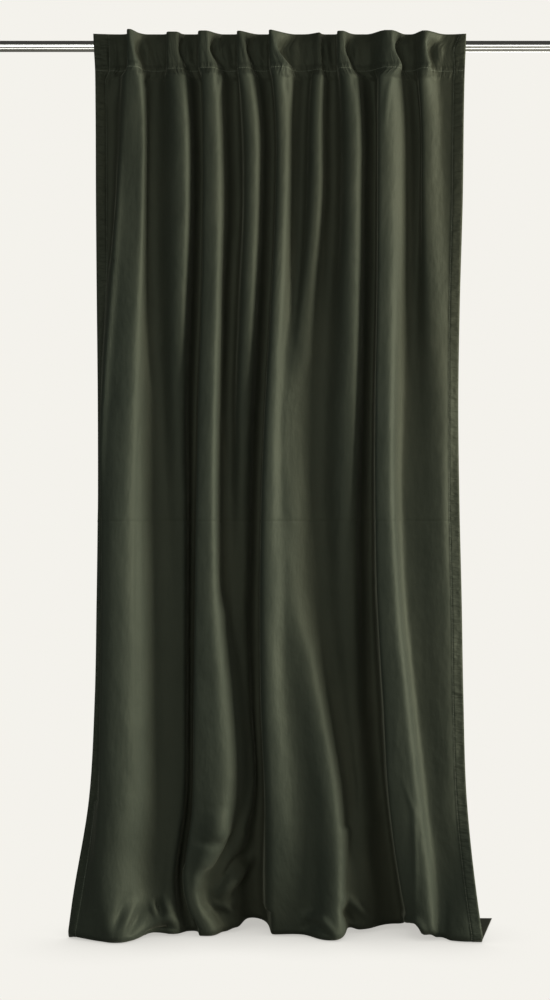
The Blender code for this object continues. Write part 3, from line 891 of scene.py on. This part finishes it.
def tape_material():
    """Woven tape with fine ribs across it."""
    material, nodes, links, shader = new_material("woven_tape")
    position = cloth_position(nodes, links, (1.0, 1.0, 1.0))
    drift = noise(nodes, links, position, scale=90.0, detail=3.0)
    links.new(drifting(nodes, links, drift, TAPE), shader.inputs["Base Color"])
    shader.inputs["Roughness"].default_value = 0.85
    shader.inputs["Specular IOR Level"].default_value = 0.2
    weave = ribs(nodes, links, position, "Y", scale=260.0, distortion=0.3)
    links.new(bump(nodes, links, weave, strength=0.5, distance=0.0003), shader.inputs["Normal"])
    return material


def rod_material():
    """Polished metal with faint smears along the rod."""
    material, nodes, links, shader = new_material("rod_polished")
    mapping = nodes.new("ShaderNodeMapping")
    mapping.inputs["Scale"].default_value = (2.0, 60.0, 60.0)
    links.new(object_position(nodes), mapping.inputs["Vector"])
    smears = noise(nodes, links, mapping.outputs["Vector"], scale=6.0, detail=3.0)
    links.new(drifting(nodes, links, smears, ROD_METAL), shader.inputs["Base Color"])
    shader.inputs["Metallic"].default_value = 1.0
    rough = ranged(nodes, links, smears, after=(0.10, 0.20))
    links.new(rough, shader.inputs["Roughness"])
    return material


def floor_material():
    """Pale like the background, with painted shade close under the cloth."""
    material, nodes, links, shader = new_material("pale_floor")
    shader.inputs["Base Color"].default_value = (*FLOOR_COLOUR, 1.0)
    shader.inputs["Roughness"].default_value = 0.9
    near = nodes.new("ShaderNodeAmbientOcclusion")
    near.inputs["Distance"].default_value = FLOOR_SHADE_REACH
    near.samples = FLOOR_SHADE_SAMPLES
    # Painted shade: the floor's glow is darker where the cloth is near
    shade = ramp(nodes, links, near.outputs["AO"], ((0.0, FLOOR_SHADE), (1.0, PALE)))
    glow = nodes.new("ShaderNodeEmission")
    links.new(shade, glow.inputs["Color"])
    path = nodes.new("ShaderNodeLightPath")
    mix = nodes.new("ShaderNodeMixShader")
    links.new(path.outputs["Is Camera Ray"], mix.inputs["Fac"])
    links.new(shader.outputs["BSDF"], mix.inputs[1])
    links.new(glow.outputs["Emission"], mix.inputs[2])
    links.new(mix.outputs["Shader"], nodes["Material Output"].inputs["Surface"])
    return material


# Pieces


def velvet_panel(grid, across, down, half):
    materials = (velvet_material(), wrong_side_material())
    panel = sheet_object("velvet_panel", grid, half, across, down, materials)
    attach(panel, "root")
    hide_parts("curtain_panel")
    return panel


def stitches_along(points, normals):
    """Corner points of one stitch after another along a line that lies on the cloth."""
    length = lengths_along(points)
    shifts, widths, heights = np.array(STITCH_RINGS).T
    stitches = []
    for start in np.arange(STITCH_PITCH / 2, length[-1] - STITCH_PITCH / 2, STITCH_PITCH):
        spots = start + shifts * STITCH_LENGTH
        place = np.stack([np.interp(spots, length, points[:, axis]) for axis in range(3)], axis=1)
        out = np.array([np.interp(start, length, normals[:, axis]) for axis in range(3)])
        out /= np.linalg.norm(out)
        along = place[-1] - place[0]
        side = np.cross(along, out)
        side *= STITCH_WIDTH / 2 / np.linalg.norm(side)
        for middle, width, height in zip(place, widths, heights):
            top = middle + out * STITCH_HEIGHT * height
            base = middle - out * STITCH_HEIGHT
            wide, narrow = side * width, side * width * STITCH_TOP_SHARE
            stitches.append([base - wide, base + wide, top + narrow, top - narrow])
    return np.array(stitches).reshape(-1, 3)


def thread_object(name, points, material):
    """Closed stitches, each with the rings of STITCH_RINGS."""
    stitch_corners = RING_CORNERS * len(STITCH_RINGS)
    faces = []
    for first in range(0, len(points), stitch_corners):
        last = first + stitch_corners - RING_CORNERS
        faces.append([first + corner for corner in reversed(range(RING_CORNERS))])
        faces.append([last + corner for corner in range(RING_CORNERS)])
        for ring in range(first, last, RING_CORNERS):
            following = ring + RING_CORNERS
            for corner in range(RING_CORNERS):
                after = (corner + 1) % RING_CORNERS
                faces.append([ring + corner, ring + after, following + after, following + corner])
    mesh = bpy.data.meshes.new(name)
    mesh.from_pydata(points.tolist(), [], faces)
    shaped = bmesh.new()
    shaped.from_mesh(mesh)
    bmesh.ops.recalc_face_normals(shaped, faces=shaped.faces)
    shaped.to_mesh(mesh)
    shaped.free()
    mesh.shade_smooth()
    mesh.materials.append(material)
    obj = placed(name, mesh)
    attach(obj, "root")
    return obj


def hem_threads(grid, across, down, half):
    """The stitch lines of the heading, the side hems and the bottom hem, on the cloth's face."""
    normal = normals_of(grid)
    face = grid + normal * half[..., None]
    widths, heights = across[0], down[:, 0]
    heading = int(np.argmin(abs(heights - HEADING_DEPTH)))
    bottom = int(np.argmin(abs(heights - (CLOTH_LENGTH - BOTTOM_HEM_WIDTH))))
    material = thread_material()
    threads = []
    lines = {
        "heading_stitches": (face[heading], normal[heading]),
        "bottom_stitches": (face[bottom], normal[bottom]),
    }
    for side, width in (("left", SIDE_HEM_WIDTH), ("right", CLOTH_WIDTH - SIDE_HEM_WIDTH)):
        column = int(np.argmin(abs(widths - width)))
        lines[f"{side}_stitches"] = (face[:, column], normal[:, column])
    for name, (points, normals) in lines.items():
        threads.append(thread_object(name, stitches_along(points, normals), material))
    return threads


def hanging_tab(name, middle, material):
    """A loop of tape, sewn under the top edge and at the heading's stitches, that passes behind the rod."""
    radius = ROD_DIAMETER / 2 + GAP + TAB_THICKNESS / 2
    sewn_y = -HANG_LINE + HEADING_THICKNESS / 2 + GAP + TAB_THICKNESS / 2
    top, bottom = HEADING_RISE - TAB_TOP_MARGIN, HEADING_RISE - HEADING_DEPTH
    low_end = np.array([sewn_y, bottom + TAB_SEWN_LENGTH])
    leave = math.atan2(low_end[1], low_end[0]) + math.acos(radius / math.hypot(*low_end))
    arrive = math.radians(TAB_MEETS_ROD)
    sewn_steps = [TAB_SEWN_LENGTH * step / TAB_SEWN_STEPS for step in range(TAB_SEWN_STEPS + 1)]
    path = [(sewn_y, top - step * TAB_TOP_SHARE) for step in sewn_steps]
    for step in range(TAB_ARC_STEPS + 1):
        angle = arrive + (leave - arrive) * step / TAB_ARC_STEPS
        path.append((radius * math.cos(angle), radius * math.sin(angle)))
    start = np.array(path[-1])
    run = (low_end - start) / TAB_RUN_STEPS
    path += [tuple(start + run * step) for step in range(1, TAB_RUN_STEPS + 1)]
    path += [(sewn_y, low_end[1] - step) for step in sewn_steps[1:]]
    path = np.array(path)
    widths = np.array(TAB_COLUMNS) * TAB_WIDTH
    lean = line_values(-path[:, 1])[:, middle, 0]
    x = lean[:, None] + widths - TAB_WIDTH / 2
    grid = np.stack(np.broadcast_arrays(x, path[:, :1], path[:, 1:]), axis=-1)
    length = lengths_along(path)
    edge = np.minimum(widths, TAB_WIDTH - widths)
    half = TAB_THICKNESS / 2 * np.interp(edge, *zip(*TAB_SELVEDGE))
    half = np.broadcast_to(half, grid.shape[:2])
    across = np.broadcast_to(widths, grid.shape[:2])
    down = np.broadcast_to(length[:, None], grid.shape[:2])
    obj = sheet_object(name, grid, half, across, down, (material, material))
    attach(obj, "root")
    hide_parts(name.replace("tape_", "tab_"))
    return obj


def polished_rod():
    """A round bar with softened ends, along X."""
    mesh = bpy.data.meshes.new("polished_rod")
    shaped = bmesh.new()
    radius = ROD_DIAMETER / 2
    bmesh.ops.create_cone(
        shaped, cap_ends=True, segments=ROD_SIDES, radius1=radius, radius2=radius, depth=ROD_LENGTH)
    end_edges = [edge for edge in shaped.edges if len({round(vert.co.z, 4) for vert in edge.verts}) == 1]
    bmesh.ops.bevel(
        shaped, geom=end_edges, offset=ROD_END_BEVEL, segments=ROD_BEVEL_STEPS, profile=0.5, affect="EDGES")
    bmesh.ops.rotate(shaped, verts=shaped.verts, matrix=Matrix.Rotation(math.pi / 2, 3, "Y"))
    shaped.to_mesh(mesh)
    shaped.free()
    mesh.shade_smooth()
    mesh.set_sharp_from_angle(angle=math.radians(ROD_SHARP_ANGLE))
    mesh.materials.append(rod_material())
    obj = placed("polished_rod", mesh)
    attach(obj, "root")
    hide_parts("rod")
    return obj


def pale_floor():
    mesh = bpy.data.meshes.new("pale_floor")
    signs = ((-1, -1), (1, -1), (1, 1), (-1, 1))
    corners = [(FLOOR_HALF_SIDE * x, FLOOR_HALF_SIDE * y, FLOOR_LEVEL) for x, y in signs]
    mesh.from_pydata(corners, [], [(0, 1, 2, 3)])
    mesh.materials.append(floor_material())
    placed("pale_floor", mesh)


def area_light(name, place, target, size, power, colour, only=None):
    light = bpy.data.lights.new(name, "AREA")
    light.shape = "RECTANGLE"
    light.size, light.size_y = size
    light.energy = power
    light.color = colour
    obj = placed(name, light)
    obj.location = place
    direction = Vector(target) - Vector(place)
    obj.rotation_euler = direction.to_track_quat("-Z", "Y").to_euler()
    if only is not None:
        receivers = bpy.data.collections.new(f"{name}_receivers")
        receivers.objects.link(only)
        obj.light_linking.receiver_collection = receivers


def studio(rod):
    world = bpy.data.worlds.new("studio")
    bpy.context.scene.world = world
    world.use_nodes = True
    nodes, links = world.node_tree.nodes, world.node_tree.links
    background = nodes["Background"]
    background.inputs["Color"].default_value = (*PALE, 1.0)
    path = nodes.new("ShaderNodeLightPath")
    strength = ranged(nodes, links, path.outputs["Is Camera Ray"], after=(WORLD_LIGHT, 1.0))
    links.new(strength, background.inputs["Strength"])
    for name, (place, size, power, colour) in LIGHTS.items():
        area_light(name, place, CLOTH_MIDDLE, size, power, colour)
    for name, (place, size, power, colour) in ROD_LIGHTS.items():
        area_light(name, place, ROD_MIDDLE, size, power, colour, rod)
    bpy.context.scene.view_settings.view_transform = "Standard"


def camera():
    data = bpy.data.cameras.new("camera")
    data.lens = CAMERA_LENS
    data.sensor_width = CAMERA_SENSOR
    obj = placed("camera", data)
    obj.location = CAMERA_PLACE
    obj.rotation_euler = (math.pi / 2, 0, 0)
    bpy.context.scene.camera = obj


def hang_cloth():
    """The cloth with its creases, and the stitches on it."""
    grid, across, down = panel_grid()
    grid = grid + normals_of(grid) * crease_heights(grid, down)[..., None]
    half = half_thickness(across, down)
    cloth = velvet_panel(grid, across, down, half)
    seams = hem_threads(grid, across, down, half)


def hang_tabs():
    """One tab behind each valley of the heading."""
    tape = tape_material()
    valleys = [line for line, name in enumerate(FOLD_LINES) if name.startswith("valley")]
    for number, valley in enumerate(valleys, start=1):
        hanging_tab(f"tape_{number:02d}", valley, tape)


camera()
pale_floor()
hang_cloth()
studio(polished_rod())
hang_tabs()
